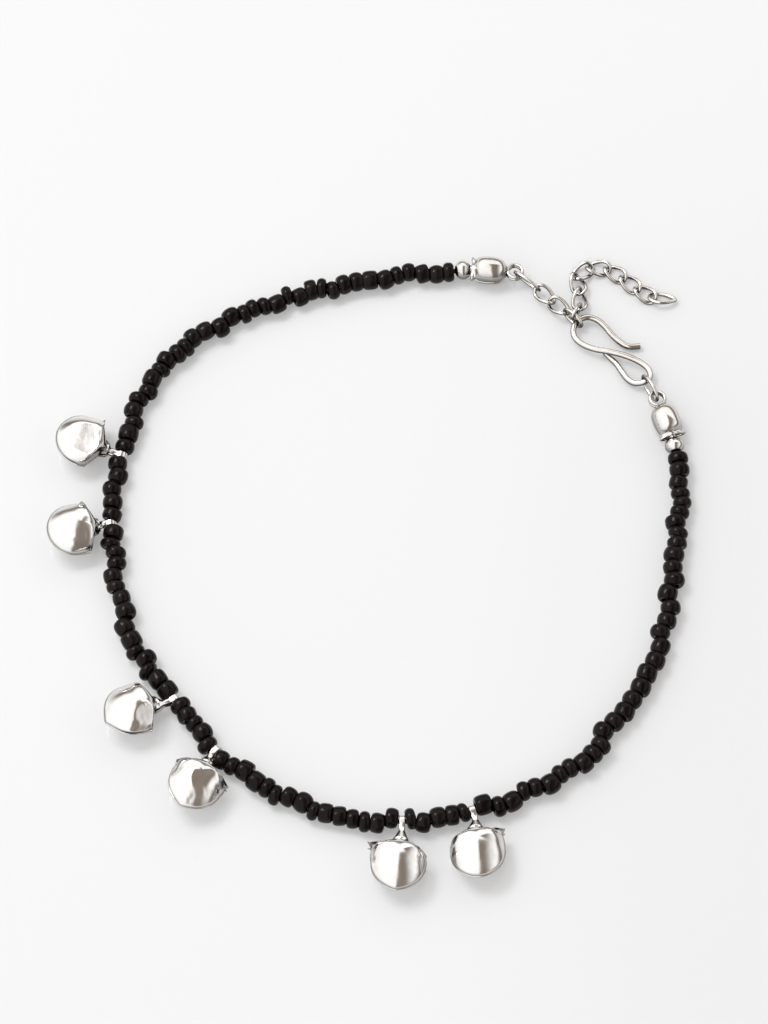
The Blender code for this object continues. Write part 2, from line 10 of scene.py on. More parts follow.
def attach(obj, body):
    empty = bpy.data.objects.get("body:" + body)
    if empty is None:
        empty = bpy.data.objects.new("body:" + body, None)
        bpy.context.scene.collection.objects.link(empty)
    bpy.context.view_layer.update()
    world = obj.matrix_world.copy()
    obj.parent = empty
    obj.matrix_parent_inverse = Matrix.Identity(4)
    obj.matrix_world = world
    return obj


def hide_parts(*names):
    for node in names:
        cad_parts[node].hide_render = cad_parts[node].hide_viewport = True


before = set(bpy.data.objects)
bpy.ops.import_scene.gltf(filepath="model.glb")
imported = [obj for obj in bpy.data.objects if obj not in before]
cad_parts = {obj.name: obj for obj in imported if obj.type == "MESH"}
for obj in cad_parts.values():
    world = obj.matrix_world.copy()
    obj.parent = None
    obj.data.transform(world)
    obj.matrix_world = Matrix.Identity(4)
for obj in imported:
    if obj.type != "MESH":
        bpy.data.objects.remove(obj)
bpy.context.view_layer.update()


# The string: waxed black thread, laid in an open round with the clasp at its far right.
# It runs from the loop of one end cap to the loop of the other, on the middle of the beads.
MM = 0.001
BEAD_DIAMETER = 3.0 * MM
STRING_HEIGHT = BEAD_DIAMETER / 2 * math.cos(math.pi / 10)
THREAD_DIAMETER = 0.7 * MM
CAP_DIAMETER = 4.1 * MM
CAP_LENGTH = 5.35 * MM
CAP_LOOP_RADIUS = 1.1 * MM
BALL_LENGTH = 2.2 * MM
FIT_GAP = 0.25 * MM
STRING_ROUTE = [
    (21.7, 47.3), (17.7, 47.6), (13.7, 47.8), (7.7, 47.3), (0.2, 46.1), (-7.3, 44.6),
    (-14.8, 42.3), (-21.3, 39.4), (-27.8, 34.8), (-32.3, 29.1), (-35.1, 22.3),
    (-36.8, 15.3), (-37.6, 7.9), (-37.3, 2.3), (-36.4, -2.8), (-34.8, -9.5),
    (-31.8, -15.6), (-27.5, -21.4), (-23.1, -27.4), (-18.2, -31.7), (-11.8, -35.7),
    (-4.4, -38.7), (3.4, -39.3), (9.5, -39.0), (16.2, -37.3), (23.4, -34.5),
    (29.8, -30.5), (34.8, -24.7), (39.1, -18.2), (42.0, -11.4), (43.6, -4.4),
    (44.6, 3.5), (45.1, 11.7), (44.7, 18.7), (43.8, 22.1), (42.4, 26.2),
]


def smooth_path(points, steps=12):
    """Read a smooth curve through the points."""
    ends = [points[0] * 2 - points[1]] + points + [points[-1] * 2 - points[-2]]
    path = []
    for index in range(1, len(ends) - 2):
        before, start, stop, after = ends[index - 1:index + 3]
        for step in range(steps):
            t = step / steps
            path.append(0.5 * (
                2 * start + (stop - before) * t
                + (2 * before - 5 * start + 4 * stop - after) * t ** 2
                + (3 * start - before - 3 * stop + after) * t ** 3))
    path.append(points[-1])
    return path


def along(path, distance):
    """Return the point and the direction of a path at a distance from its start."""
    left = max(distance, 0.0)
    for a, b in zip(path, path[1:]):
        step = (b - a).length
        if left <= step:
            return a.lerp(b, left / step), (b - a).normalized()
        left -= step
    a, b = path[-2:]
    return b + (b - a).normalized() * left, (b - a).normalized()


def level_frame(point, direction, height):
    """Return a frame with X to the right of a level direction, Y along it and Z up."""
    right = Vector((direction.y, -direction.x, 0.0)).normalized()
    ahead = Vector((direction.x, direction.y, 0.0)).normalized()
    turned = Matrix((right, ahead, Vector((0.0, 0.0, 1.0)))).transposed().to_4x4()
    turned.translation = (point.x, point.y, height)
    return turned


def show(item, material, slot, *nodes):
    """Put a piece on the anklet's one body, in place of the solids that it stands for."""
    bpy.context.scene.collection.objects.link(item)
    item.data.materials.append(material)
    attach(item, "root")
    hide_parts(*nodes)
    return item


def wire_piece(name, points, wire, closed, material, slot, *nodes):
    """Bend round wire along a run of points."""
    curve = bpy.data.curves.new(name, "CURVE")
    curve.dimensions = "3D"
    curve.bevel_depth = wire / 2
    curve.bevel_resolution = 4
    curve.use_fill_caps = not closed
    spline = curve.splines.new("POLY")
    spline.points.add(len(points) - 1)
    for target, point in zip(spline.points, points):
        target.co = (*point, 1.0)
        target.radius = 1.0
    spline.use_cyclic_u = closed
    spline.use_smooth = True
    return show(bpy.data.objects.new(name, curve), material, slot, *nodes)


def node_material(name):
    """Return a new material, its node tree and its shader."""
    material = bpy.data.materials.new(name)
    material.use_nodes = True
    tree = material.node_tree
    return material, tree, tree.nodes["Principled BSDF"]


def add_node(tree, kind, links=(), **values):
    """Add a node, set its plain properties and link sockets into it."""
    node = tree.nodes.new(kind)
    for key, value in values.items():
        if hasattr(node, key):
            setattr(node, key, value)
        else:
            node.inputs[key.replace("_", " ")].default_value = value
    for source, socket in links:
        tree.links.new(source, node.inputs[socket])
    return node


def object_place(tree):
    """Return the socket of the piece's own coordinates."""
    return tree.nodes.new("ShaderNodeTexCoord").outputs["Object"]


thread_black, tree, shader = node_material("waxed_black_thread")
shader.inputs["Base Color"].default_value = (0.010, 0.009, 0.009, 1.0)
shader.inputs["Roughness"].default_value = 0.6
fibre = add_node(tree, "ShaderNodeTexNoise", [(object_place(tree), "Vector")], Scale=9000.0, Detail=3.0)
bump = add_node(tree, "ShaderNodeBump", [(fibre.outputs["Fac"], "Height")], Strength=0.4, Distance=0.0001)
tree.links.new(bump.outputs["Normal"], shader.inputs["Normal"])

STRING_PATH = smooth_path([Vector((x * MM, y * MM, STRING_HEIGHT)) for x, y in STRING_ROUTE])
STRING_LENGTH = sum((b - a).length for a, b in zip(STRING_PATH, STRING_PATH[1:]))
CAP_LOOP_REACH = CAP_LENGTH + CAP_LOOP_RADIUS
BALL_STATION = CAP_LOOP_REACH + FIT_GAP + BALL_LENGTH / 2
BEADS_START = BALL_STATION + BALL_LENGTH / 2 + FIT_GAP
BEADS_END = STRING_LENGTH - BEADS_START


def string_height(distance):
    """Return the height of the thread, which climbs at each end to the middle of its cap."""
    left = min(distance, STRING_LENGTH - distance)
    climb = min(max((BEADS_START - left) / (BEADS_START - CAP_LOOP_REACH), 0.0), 1.0)
    return STRING_HEIGHT + climb * (CAP_DIAMETER / 2 - STRING_HEIGHT)


THREAD_STEPS = 240
thread_points = []
for step in range(THREAD_STEPS + 1):
    distance = CAP_LOOP_REACH + (STRING_LENGTH - 2 * CAP_LOOP_REACH) * step / THREAD_STEPS
    point = along(STRING_PATH, distance)[0]
    thread_points.append(Vector((point.x, point.y, string_height(distance))))
wire_piece("thread", thread_points, THREAD_DIAMETER, False, thread_black, "black_glass", "bead_string")


# Glass seed beads, nicked from a drawn tube of opaque black glass and tumbled hot, so that
# no two have quite the same length and some stay square-shouldered. Strung loose on the thread.
BELL_ROOM = 1.1 * MM
BELLS = [
    {"beads": 33, "share": 0.2837, "turn": -5.0, "reach": 0.76},
    {"beads": 5, "share": 0.3335, "turn": 15.0, "reach": 0.71},
    {"beads": 15, "share": 0.4671, "turn": -16.0, "reach": 0.81},
    {"beads": 5, "share": 0.5116, "turn": 18.0, "reach": 0.79},
    {"beads": 15, "share": 0.6435, "turn": -4.0, "reach": 0.885},
    {"beads": 5, "share": 0.6890, "turn": -11.0, "reach": 0.855},
]
LAST_RUN_BEADS = 35
BEAD_SEED = 21
# how square the shoulders of each kind of bead are
BEAD_KINDS = [1.8, 2.1, 2.7]
# how far one bead differs from the next: its length, its girth, how round it is, how far it
# stands out of the row and how far it leans and nods, in degrees
BEAD_LENGTHS = (0.74, 1.26)
BEAD_GIRTHS = (0.94, 1.05)
BEAD_ROUNDNESS = (0.95, 1.0)
BEAD_WANDER = 0.56 * MM
BEAD_LEAN = 17
BEAD_NOD = 6


def bell_station(bell):
    """Return the distance along the string at which a bell hangs."""
    return BEADS_START + (BEADS_END - BEADS_START) * bell["share"]


def bead_form(square):
    """Return the mesh of one bead, one unit in radius and in half length, bored through."""
    bm = bmesh.new()
    bore = 0.30
    lip = 0.42
    shoulder = 0.62
    steps = 12
    verts = []
    for step in range(steps + 1):
        turn = math.pi * (step / steps - 0.5)
        out = max(math.cos(turn), 0.0) ** (2 / square)
        length = math.copysign(abs(math.sin(turn)) ** (2 / square), turn)
        verts.append(bm.verts.new((shoulder + (1 - shoulder) * out, length, 0.0)))
    for out, length in ((lip, 0.95), (bore, 0.72), (bore, -0.72), (lip, -0.95)):
        verts.append(bm.verts.new((out, length, 0.0)))
    for a, b in zip(verts, verts[1:] + verts[:1]):
        bm.edges.new((a, b))
    bmesh.ops.spin(bm, geom=verts + list(bm.edges), cent=(0, 0, 0), axis=(0, 1, 0),
                   angle=2 * math.pi, steps=20, use_merge=True)
    bmesh.ops.remove_doubles(bm, verts=bm.verts, dist=1e-5)
    bmesh.ops.recalc_face_normals(bm, faces=bm.faces)
    mesh = bpy.data.meshes.new("bead_form")
    bm.to_mesh(mesh)
    bm.free()
    return mesh


black_glass, tree, shader = node_material("tumbled_black_glass")
place = object_place(tree)
shader.inputs["IOR"].default_value = 1.50
shader.inputs["Specular IOR Level"].default_value = 0.14
shader.inputs["Specular Tint"].default_value = (1.0, 0.90, 0.87, 1.0)
tone = add_node(tree, "ShaderNodeTexNoise", [(place, "Vector")], Scale=420.0, Detail=2.0)
ramp = add_node(tree, "ShaderNodeValToRGB", [(tone.outputs["Fac"], "Fac")])
ramp.color_ramp.elements[0].color = (0.003, 0.0022, 0.0022, 1.0)
ramp.color_ramp.elements[0].position = 0.35
ramp.color_ramp.elements[1].color = (0.010, 0.007, 0.0065, 1.0)
ramp.color_ramp.elements[1].position = 0.7
tree.links.new(ramp.outputs["Color"], shader.inputs["Base Color"])
worn = add_node(tree, "ShaderNodeTexNoise", [(place, "Vector")], Scale=1500.0, Detail=4.0)
gloss = add_node(tree, "ShaderNodeMapRange", [(worn.outputs["Fac"], "Value")], From_Min=0.3,
                 From_Max=0.75, To_Min=0.06, To_Max=0.22)
tree.links.new(gloss.outputs["Result"], shader.inputs["Roughness"])
ripple = add_node(tree, "ShaderNodeTexNoise", [(place, "Vector")], Scale=800.0, Detail=3.0)
bump = add_node(tree, "ShaderNodeBump", [(ripple.outputs["Fac"], "Height")], Strength=0.8, Distance=0.00010)
tree.links.new(bump.outputs["Normal"], shader.inputs["Normal"])

forms = [bead_form(square) for square in BEAD_KINDS]
rng = random.Random(BEAD_SEED)
marks = [bell_station(bell) for bell in BELLS]
starts = [BEADS_START] + [mark + BELL_ROOM / 2 for mark in marks]
stops = [mark - BELL_ROOM / 2 for mark in marks] + [BEADS_END]
counts = [bell["beads"] for bell in BELLS] + [LAST_RUN_BEADS]
beads = bmesh.new()
for start, stop, count in zip(starts, stops, counts):
    lengths = [rng.uniform(*BEAD_LENGTHS) for _ in range(count)]
    fit = (stop - start) / sum(lengths)
    near = start
    for share in lengths:
        length = share * fit
        radius = BEAD_DIAMETER / 2 * rng.uniform(*BEAD_GIRTHS)
        shift = rng.uniform(-BEAD_WANDER, BEAD_WANDER)
        point, direction = along(STRING_PATH, near + length / 2)
        lean = math.radians(rng.uniform(-BEAD_LEAN, BEAD_LEAN))
        nod = math.radians(rng.uniform(-BEAD_NOD, BEAD_NOD))
        height = radius + abs(math.sin(nod)) * length / 2
        matrix = (level_frame(point, direction, height) @ Matrix.Translation((shift, 0.0, 0.0))
                  @ Matrix.Rotation(lean, 4, "Z") @ Matrix.Rotation(nod, 4, "X")
                  @ Matrix.Rotation(rng.uniform(0, math.pi), 4, "Y")
                  @ Matrix.Diagonal((radius, length * 0.505, radius * rng.uniform(*BEAD_ROUNDNESS), 1.0)))
        known = len(beads.verts)
        beads.from_mesh(forms[rng.choice((0, 1, 1, 2))])
        beads.verts.ensure_lookup_table()
        bmesh.ops.transform(beads, matrix=matrix, verts=beads.verts[known:])
        near += length
mesh = bpy.data.meshes.new("glass_beads")
beads.to_mesh(mesh)
beads.free()
mesh.shade_smooth()
show(bpy.data.objects.new("glass_beads", mesh), black_glass, "black_glass", "bead_string")


# Round silver-plated brass balls, one at each end of the row, drilled through and
# polished. They keep the glass off the sharp mouth of the end cap.
BALL_DIAMETER = 2.9 * MM


def silver(name, colour, painted_side_share, roughness, dent_scale, dent_depth):
    """Return plated metal: its base colour carries painted shade, darker where the surface faces
    sideways and lighter where it faces up, with faint clouding over dents and fine rubbing marks."""
    material, tree, shader = node_material(name)
    place = object_place(tree)
    shader.inputs["Metallic"].default_value = 1.0
    cloud = add_node(tree, "ShaderNodeTexNoise", [(place, "Vector")], Scale=600.0, Detail=4.0,
                     Roughness=0.6)
    ramp = add_node(tree, "ShaderNodeValToRGB", [(cloud.outputs["Fac"], "Fac")])
    ramp.color_ramp.elements[0].color = (*[value * 0.90 for value in colour], 1.0)
    ramp.color_ramp.elements[0].position = 0.3
    ramp.color_ramp.elements[1].color = (*colour, 1.0)
    ramp.color_ramp.elements[1].position = 0.6
    # Painted shade: the base colour falls to a share of itself where the surface faces sideways, standing
    # in for the shaded sides of wire, caps and bells.
    normal = tree.nodes.new("ShaderNodeNewGeometry").outputs["Normal"]
    faced = add_node(tree, "ShaderNodeSeparateXYZ", [(normal, "Vector")])
    lit_by_facing = add_node(tree, "ShaderNodeMapRange", [(faced.outputs["Z"], "Value")], From_Min=0.15,
                     From_Max=0.90, interpolation_type="SMOOTHSTEP")
    painted_side_shade = add_node(tree, "ShaderNodeMix", [(lit_by_facing.outputs["Result"], "Factor")], data_type="RGBA")
    painted_side_shade.inputs[6].default_value = (*[value * painted_side_share for value in colour], 1.0)
    tree.links.new(ramp.outputs["Color"], painted_side_shade.inputs[7])
    tree.links.new(painted_side_shade.outputs[2], shader.inputs["Base Color"])
    gloss = add_node(tree, "ShaderNodeMapRange", [(cloud.outputs["Fac"], "Value")], From_Min=0.3,
                     From_Max=0.7, To_Min=roughness * 1.5, To_Max=roughness * 0.7)
    tree.links.new(gloss.outputs["Result"], shader.inputs["Roughness"])
    dents = add_node(tree, "ShaderNodeTexNoise", [(place, "Vector")], Scale=dent_scale, Detail=2.0)
    coarse = add_node(tree, "ShaderNodeBump", [(dents.outputs["Fac"], "Height")], Strength=0.6,
                      Distance=dent_depth)
    streak = add_node(tree, "ShaderNodeMapping", [(place, "Vector")], Scale=(9000.0, 900.0, 2500.0))
    rubbed = add_node(tree, "ShaderNodeTexNoise", [(streak.outputs["Vector"], "Vector")], Scale=1.0,
                      Detail=2.0)
    marks_and_dents = [(rubbed.outputs["Fac"], "Height"), (coarse.outputs["Normal"], "Normal")]
    fine = add_node(tree, "ShaderNodeBump", marks_and_dents, Strength=0.25, Distance=0.00001)
    tree.links.new(fine.outputs["Normal"], shader.inputs["Normal"])
    return material


def axis_frame(point, direction):
    """Return a frame with Z along a direction."""
    return Matrix.Translation(point) @ direction.to_track_quat("Z", "Y").to_matrix().to_4x4()


def string_end(number):
    """Return the path of the string read from one of its ends."""
    return STRING_PATH if number == 1 else STRING_PATH[::-1]


def spun(bm, profile, steps):
    """Turn a closed profile of radius and height about Z."""
    verts = [bm.verts.new((radius, 0.0, height)) for radius, height in profile]
    edges = [bm.edges.new(pair) for pair in zip(verts, verts[1:])]
    edges.append(bm.edges.new((verts[-1], verts[0])))
    bmesh.ops.spin(bm, geom=verts + edges, cent=(0, 0, 0), axis=(0, 0, 1), angle=2 * math.pi,
                   steps=steps, use_merge=True)
    bmesh.ops.remove_doubles(bm, verts=bm.verts, dist=1e-7)
    bmesh.ops.recalc_face_normals(bm, faces=bm.faces)


def mesh_item(name, bm, matrix):
    """Turn a bmesh into a smooth object with its place in its mesh."""
    bmesh.ops.transform(bm, matrix=matrix, verts=bm.verts)
    mesh = bpy.data.meshes.new(name)
    bm.to_mesh(mesh)
    bm.free()
    mesh.shade_smooth()
    return bpy.data.objects.new(name, mesh)


BALL_MOUTH_TURN = 62
BALL_STEPS = 14
# The third figure given to silver() is the share of its colour that the painted side shade leaves.
plated_silver = silver("plated_silver", (0.84, 0.81, 0.77), 0.28, 0.12, 700.0, 0.00006)
for number in (1, 2):
    point, direction = along(string_end(number), BALL_STATION)
    point = Vector((point.x, point.y, string_height(BALL_STATION)))
    slope = (CAP_DIAMETER / 2 - STRING_HEIGHT) / (BEADS_START - CAP_LOOP_REACH)
    hole = THREAD_DIAMETER / 2 + FIT_GAP
    profile = [(hole, -BALL_LENGTH * 0.42), (hole, BALL_LENGTH * 0.42)]
    for step in range(BALL_STEPS + 1):
        turn = math.radians(BALL_MOUTH_TURN * (1 - 2 * step / BALL_STEPS))
        profile.append((BALL_DIAMETER / 2 * math.cos(turn),
                        BALL_LENGTH / 2 * math.sin(turn) / math.sin(math.radians(BALL_MOUTH_TURN))))
    bm = bmesh.new()
    spun(bm, profile, 40)
    ball = mesh_item("polished_ball_%d" % number, bm,
                     axis_frame(point, (direction - Vector((0, 0, slope))).normalized()))
    show(ball, plated_silver, "silver", "silver_ball_%d" % number)


# End caps: two stamped cups on one hinge, folded shut over the knot, with flared corners at
# the mouth, a crimped neck, and a wire loop rolled from each cup's tongue.
CAP_LOOP_WIRE = 0.5 * MM
CAP_SLIT = 0.2 * MM
CAP_SHEET = 0.28 * MM
CAP_LOOP_STEPS = 40
# how far round one cup of a cap reaches, in degrees, and the pitch of its crimped ribs
CAP_CUP_TURN = 174
CRIMP_PITCH = 0.24
# distance from the mouth in lengths, radius in the cap's own, and how far the corners flare
CAP_ROWS = [
    {"along": 0.0, "radius": 0.42, "flare": 0.58},
    {"along": 0.04, "radius": 0.42, "flare": 0.50},
    {"along": 0.08, "radius": 0.46, "flare": 0.36},
    {"along": 0.12, "radius": 0.66, "flare": 0.14},
    {"along": 0.17, "radius": 0.87, "flare": 0.03},
    {"along": 0.24, "radius": 0.95, "flare": 0.0},
    {"along": 0.34, "radius": 0.99, "flare": 0.0},
    {"along": 0.48, "radius": 1.0, "flare": 0.0},
    {"along": 0.60, "radius": 0.99, "flare": 0.0},
    {"along": 0.70, "radius": 0.955, "flare": 0.0},
    {"along": 0.79, "radius": 0.88, "flare": 0.0},
    {"along": 0.87, "radius": 0.74, "flare": 0.0},
    {"along": 0.94, "radius": 0.50, "flare": 0.0},
    {"along": 1.0, "radius": 0.26, "flare": 0.0},
]
for number in (1, 2):
    path = string_end(number)
    loop_point = along(path, 0.0)[0]
    mouth_point = along(path, CAP_LOOP_REACH)[0]
    lift = Vector((0.0, 0.0, CAP_DIAMETER / 2 - STRING_HEIGHT))
    place = axis_frame(mouth_point + lift, (loop_point - mouth_point).normalized())
    cap = bmesh.new()
    for side in (-1, 1):
        verts = [cap.verts.new((row["radius"], 0.0, row["along"])) for row in CAP_ROWS]
        edges = [cap.edges.new(pair) for pair in zip(verts, verts[1:])]
        known = set(cap.verts) - set(verts)
        bmesh.ops.rotate(cap, verts=verts, cent=(0, 0, 0),
                         matrix=Matrix.Rotation(math.radians(3 if side > 0 else 183), 3, "Z"))
        bmesh.ops.spin(cap, geom=verts + edges, cent=(0, 0, 0), axis=(0, 0, 1),
                       angle=math.radians(CAP_CUP_TURN), steps=28)
        for vert in set(cap.verts) - known:
            turn = math.atan2(vert.co.y, vert.co.x)
            row = min(CAP_ROWS, key=lambda entry: abs(entry["along"] - vert.co.z))
            corner = abs(math.cos(turn)) ** 8
            radius = (row["radius"] + row["flare"] * corner) * CAP_DIAMETER / 2
            vert.co = (radius * math.cos(turn), radius * math.sin(turn) + side * CAP_SLIT * 0.3,
                       vert.co.z * CAP_LENGTH)
    bmesh.ops.recalc_face_normals(cap, faces=cap.faces)
    shell = mesh_item("end_cup_%d" % number, cap, place)
    wall = shell.modifiers.new("sheet", "SOLIDIFY")
    wall.thickness = CAP_SHEET
    wall.offset = -1.0
    show(shell, plated_silver, "silver", "end_cap_%d" % number)
    for side in (-1, 1):
        ring = []
        for step in range(CAP_LOOP_STEPS):
            turn = 2 * math.pi * step / CAP_LOOP_STEPS
            ring.append(place @ Vector((CAP_LOOP_RADIUS * math.cos(turn),
                                        side * (CAP_LOOP_WIRE / 2 + CAP_SLIT / 4),
                                        CAP_LOOP_REACH + CAP_LOOP_RADIUS * math.sin(turn))))
        wire_piece("end_loop_%d_%s" % (number, "left" if side < 0 else "right"), ring, CAP_LOOP_WIRE,
                   True, plated_silver, "silver", "end_cap_%d" % number)
    crimp = bmesh.new()
    rows = [(0.30, -0.30)]
    for rib in range(3):
        foot = -0.28 + rib * CRIMP_PITCH
        rows += [(0.56, foot), (0.64, foot + CRIMP_PITCH / 3), (0.56, foot + CRIMP_PITCH * 2 / 3)]
    rows += [(0.30, 0.40)]
    spun(crimp, [(out * MM, up * MM) for out, up in rows], 24)
    show(mesh_item("crimp_%d" % number, crimp, place), plated_silver, "silver", "end_cap_%d" % number)


# Bells: each one strip of thin silver-plated sheet, stamped into two shield-shaped cups and
# folded over the thread, so the cups meet face to face at a dark slit with pointed corners.
BELL_RADIUS = 3.9 * MM
BELL_RISE = 2.65 * MM
BELL_HALF_DEPTH = 2.8 * MM
BELL_SLIT = 0.3 * MM
BELL_SHEET = 0.3 * MM
BELL_SETTLE = 0.06 * MM
NECK_HALF_WIDTHS = (0.42 * MM, 1.15 * MM)
NECK_TURN = 160.0
CORNER_STEP = 130.5
# corners of each bell behind and ahead on the string: out to the side and towards the neck in
# radii, then the length and the curl of the tip in millimetres. Then the point of its foot and
# how far ahead that lies, where its slit gapes, its crumpled rim, and its dented flats: the way
# that each one faces, how far from the middle it starts and how steep it is
BELL_FOLDS = [
    {"behind": (1.00, 0.50, 0.4, 0.5), "ahead": (0.95, 0.36, 0.1, 0.0), "point": 0.02, "foot": 0.0,
     "gape": 85.0, "crumple": 150.0, "flats": [(20.0, -0.45, 0.32)]},
    {"behind": (0.97, 0.52, 0.35, 0.3), "ahead": (0.96, 0.40, 0.2, 0.3), "point": 0.00, "foot": 0.0,
     "gape": 135.0, "crumple": 60.0, "flats": []},
    {"behind": (0.99, 0.44, 0.1, 0.2), "ahead": (0.98, 0.44, 0.2, 0.2), "point": 0.13, "foot": 12.0,
     "gape": 72.0, "crumple": 60.0, "flats": [(92.0, 0.22, 0.85)]},
    {"behind": (1.01, 0.48, 0.2, 0.3), "ahead": (1.02, 0.36, 0.4, 0.5), "point": 0.11, "foot": -5.0,
     "gape": -65.0, "crumple": 40.0, "flats": [(30.0, -0.22, 0.36)]},
    {"behind": (1.02, 0.60, 0.7, 0.9), "ahead": (0.95, 0.36, 0.2, 0.1), "point": 0.05, "foot": -4.0,
     "gape": -100.0, "crumple": 110.0, "flats": []},
    {"behind": (0.90, 0.48, 0.1, -0.2), "ahead": (0.96, 0.66, 0.6, 0.7), "point": 0.00, "foot": 0.0,
     "gape": -120.0, "crumple": -80.0, "flats": []},
]
DOME_HALF_ANGLE = math.radians(58)
# how far the crown of a cup lies towards the neck, in radii
CROWN_SHIFT = 0.25
# dents of the whole cup and of its crumpled rim, as shares of its rise
WAVE_SHARE = 0.02
CRUMPLE_SHARE = 0.06
GAPE_LIFT = 0.4 * MM
NECK_RIDGE = 0.4 * MM
# how far each mark spreads round the rim, in degrees
FOOT_SPREAD = 13
CORNER_SPREAD = 30
CRUMPLE_SPREAD = 45
GAPE_SPREAD = 32
RIDGE_SPREAD = 11
NECK_STEPS = 8
NECK_LOOP_TURNS = (40, 60, 80, 100, 120, 140, 160, 180)


def bell_outline(turn, fold):
    """Return a place on the rim in radii, from its turn away from the foot."""
    side, rise, tip, _ = fold["ahead"] if turn > 0 else fold["behind"]
    size = abs(turn)
    if size <= 90:
        away = (turn - fold["foot"]) / FOOT_SPREAD
        out = 1.0 + fold["point"] * math.exp(-abs(away) ** 1.3)
        return Vector((math.cos(math.radians(turn)), math.sin(math.radians(turn)))) * out
    corner = Vector((-rise, side))
    if size <= CORNER_STEP:
        part = (size - 90) / (CORNER_STEP - 90)
        spot = Vector((0.0, 1.0)).lerp(corner, part) + Vector((0.0, 0.03 * math.sin(math.pi * part)))
    else:
        part = (size - CORNER_STEP) / (180 - CORNER_STEP)
        spot = corner.lerp(Vector((-1.0, 0.0)), part) + Vector((0.02 * math.sin(math.pi * part), 0.0))
    if abs(size - CORNER_STEP) < 1:
        spot += corner.normalized() * tip * MM / BELL_RADIUS
    return Vector((spot.x, math.copysign(spot.y, turn)))


def near_turn(turn, mark, width):
    """Return how close a turn round the bell lies to a mark, from 0 to 1."""
    away = (turn - mark + 180) % 360 - 180
    return math.exp(-(away / width) ** 2)


def bell_tilt(reach, turn):
    """Return the slope at which a bell leans on the thread and touches the surface."""
    tilt = 0.0
    for _ in range(12):
        low = math.hypot(BELL_RADIUS * math.sin(tilt), BELL_HALF_DEPTH * math.cos(tilt))
        tilt = math.atan((low + BELL_SETTLE - STRING_HEIGHT) / (reach * math.cos(turn)))
    return tilt


def dome_height(share):
    """Return the height of a cup as a share of its rise, at a share of its radius."""
    lift = math.sqrt(1 - (min(share, 1.0) * math.sin(DOME_HALF_ANGLE)) ** 2) - math.cos(DOME_HALF_ANGLE)
    return lift / (1 - math.cos(DOME_HALF_ANGLE))


def stamp_cup(middle, turn, fold, upper, seed):
    """Return one cup of a bell and its half of the neck."""
    bm = bmesh.new()
    bmesh.ops.create_uvsphere(bm, u_segments=80, v_segments=36, radius=1.0)
    bmesh.ops.bisect_plane(bm, geom=list(bm.verts) + list(bm.edges) + list(bm.faces), dist=1e-5,
                           plane_co=(0, 0, 0), plane_no=(0, 0, -1), clear_outer=True)
    loop_radius = THREAD_DIAMETER / 2 + FIT_GAP + BELL_SHEET
    shoulder = BELL_SLIT / 2 + BELL_SHEET
    neck = []
    for vert in bm.verts:
        share = math.acos(min(vert.co.z, 1.0)) / (math.pi / 2)
        flat = Vector((vert.co.x, vert.co.y))
        way = flat.normalized() if flat.length > 1e-6 else Vector((1.0, 0.0))
        degrees = math.degrees(math.atan2(way.y, way.x))
        spot = way * share + (bell_outline(degrees, fold) - way) * share ** 3
        spot.x -= CROWN_SHIFT * (1 - share * share)
        height = dome_height(share ** (1 + near_turn(abs(degrees), CORNER_STEP, CORNER_SPREAD)))
        if upper:
            for turned, offset, slope in fold["flats"]:
                side = Vector((math.cos(math.radians(turned)), math.sin(math.radians(turned))))
                flat_height = dome_height(abs(offset)) - slope * (spot.dot(side) - offset)
                height = min(height, flat_height) if spot.dot(side) > offset else height
        where = Vector((spot.x * 1.6 + seed, spot.y * 1.6, seed))
        edge = min((1 - share) * 5, 1.0)
        height += WAVE_SHARE * noise.noise(where) * edge
        crumpled = near_turn(degrees, fold["crumple"], CRUMPLE_SPREAD) * share ** 3 * edge
        height += CRUMPLE_SHARE * noise.noise(where * 4) * crumpled
        height = BELL_SLIT / 2 + BELL_RISE * height
        if upper:
            height += near_turn(degrees, fold["gape"], GAPE_SPREAD) * share ** 10 * GAPE_LIFT
        height += near_turn(degrees, 180, RIDGE_SPREAD) * share ** 8 * NECK_RIDGE
        if abs(abs(degrees) - CORNER_STEP) < 1:
            curl = (fold["ahead"] if degrees > 0 else fold["behind"])[3]
            height += share ** 24 * curl * MM * (1 if upper else 0.6)
        if share > 0.999 and abs(degrees) >= NECK_TURN:
            height += BELL_SHEET * 0.6
            neck.append(vert)
        vert.co = (middle + BELL_RADIUS * spot.x, BELL_RADIUS * spot.y, height)
    edges = [edge for edge in bm.edges if edge.verts[0] in neck and edge.verts[1] in neck]
    rim = middle - BELL_RADIUS * 0.98
    throat, base = NECK_HALF_WIDTHS
    spots = []
    for step in range(1, NECK_STEPS + 1):
        part = step / NECK_STEPS
        width = base + (throat - base) * part ** 0.9
        spots.append((rim + (2 * loop_radius - rim) * part, shoulder, width, 0.45 * width))
    for degrees in NECK_LOOP_TURNS:
        angle = math.radians(degrees)
        spots.append((loop_radius * math.cos(angle), loop_radius * math.sin(angle), throat, 0.0))
    for out, height, width, crown in spots:
        grown = bmesh.ops.extrude_edge_only(bm, edges=edges)["geom"]
        edges = [part for part in grown if isinstance(part, bmesh.types.BMEdge)]
        line = sorted((part for part in grown if isinstance(part, bmesh.types.BMVert)),
                      key=lambda vert: vert.co.y)
        for index, vert in enumerate(line):
            side = 2 * index / (len(line) - 1) - 1
            vert.co = (out, side * width, height + crown * (1 - side * side))
    for vert in bm.verts:
        bend = min(max((vert.co.x - loop_radius) / (rim - loop_radius), 0.0), 1.0)
        vert.co.rotate(Matrix.Rotation(turn * bend, 3, "Z"))
        if not upper:
            vert.co.z = -vert.co.z
    return bm


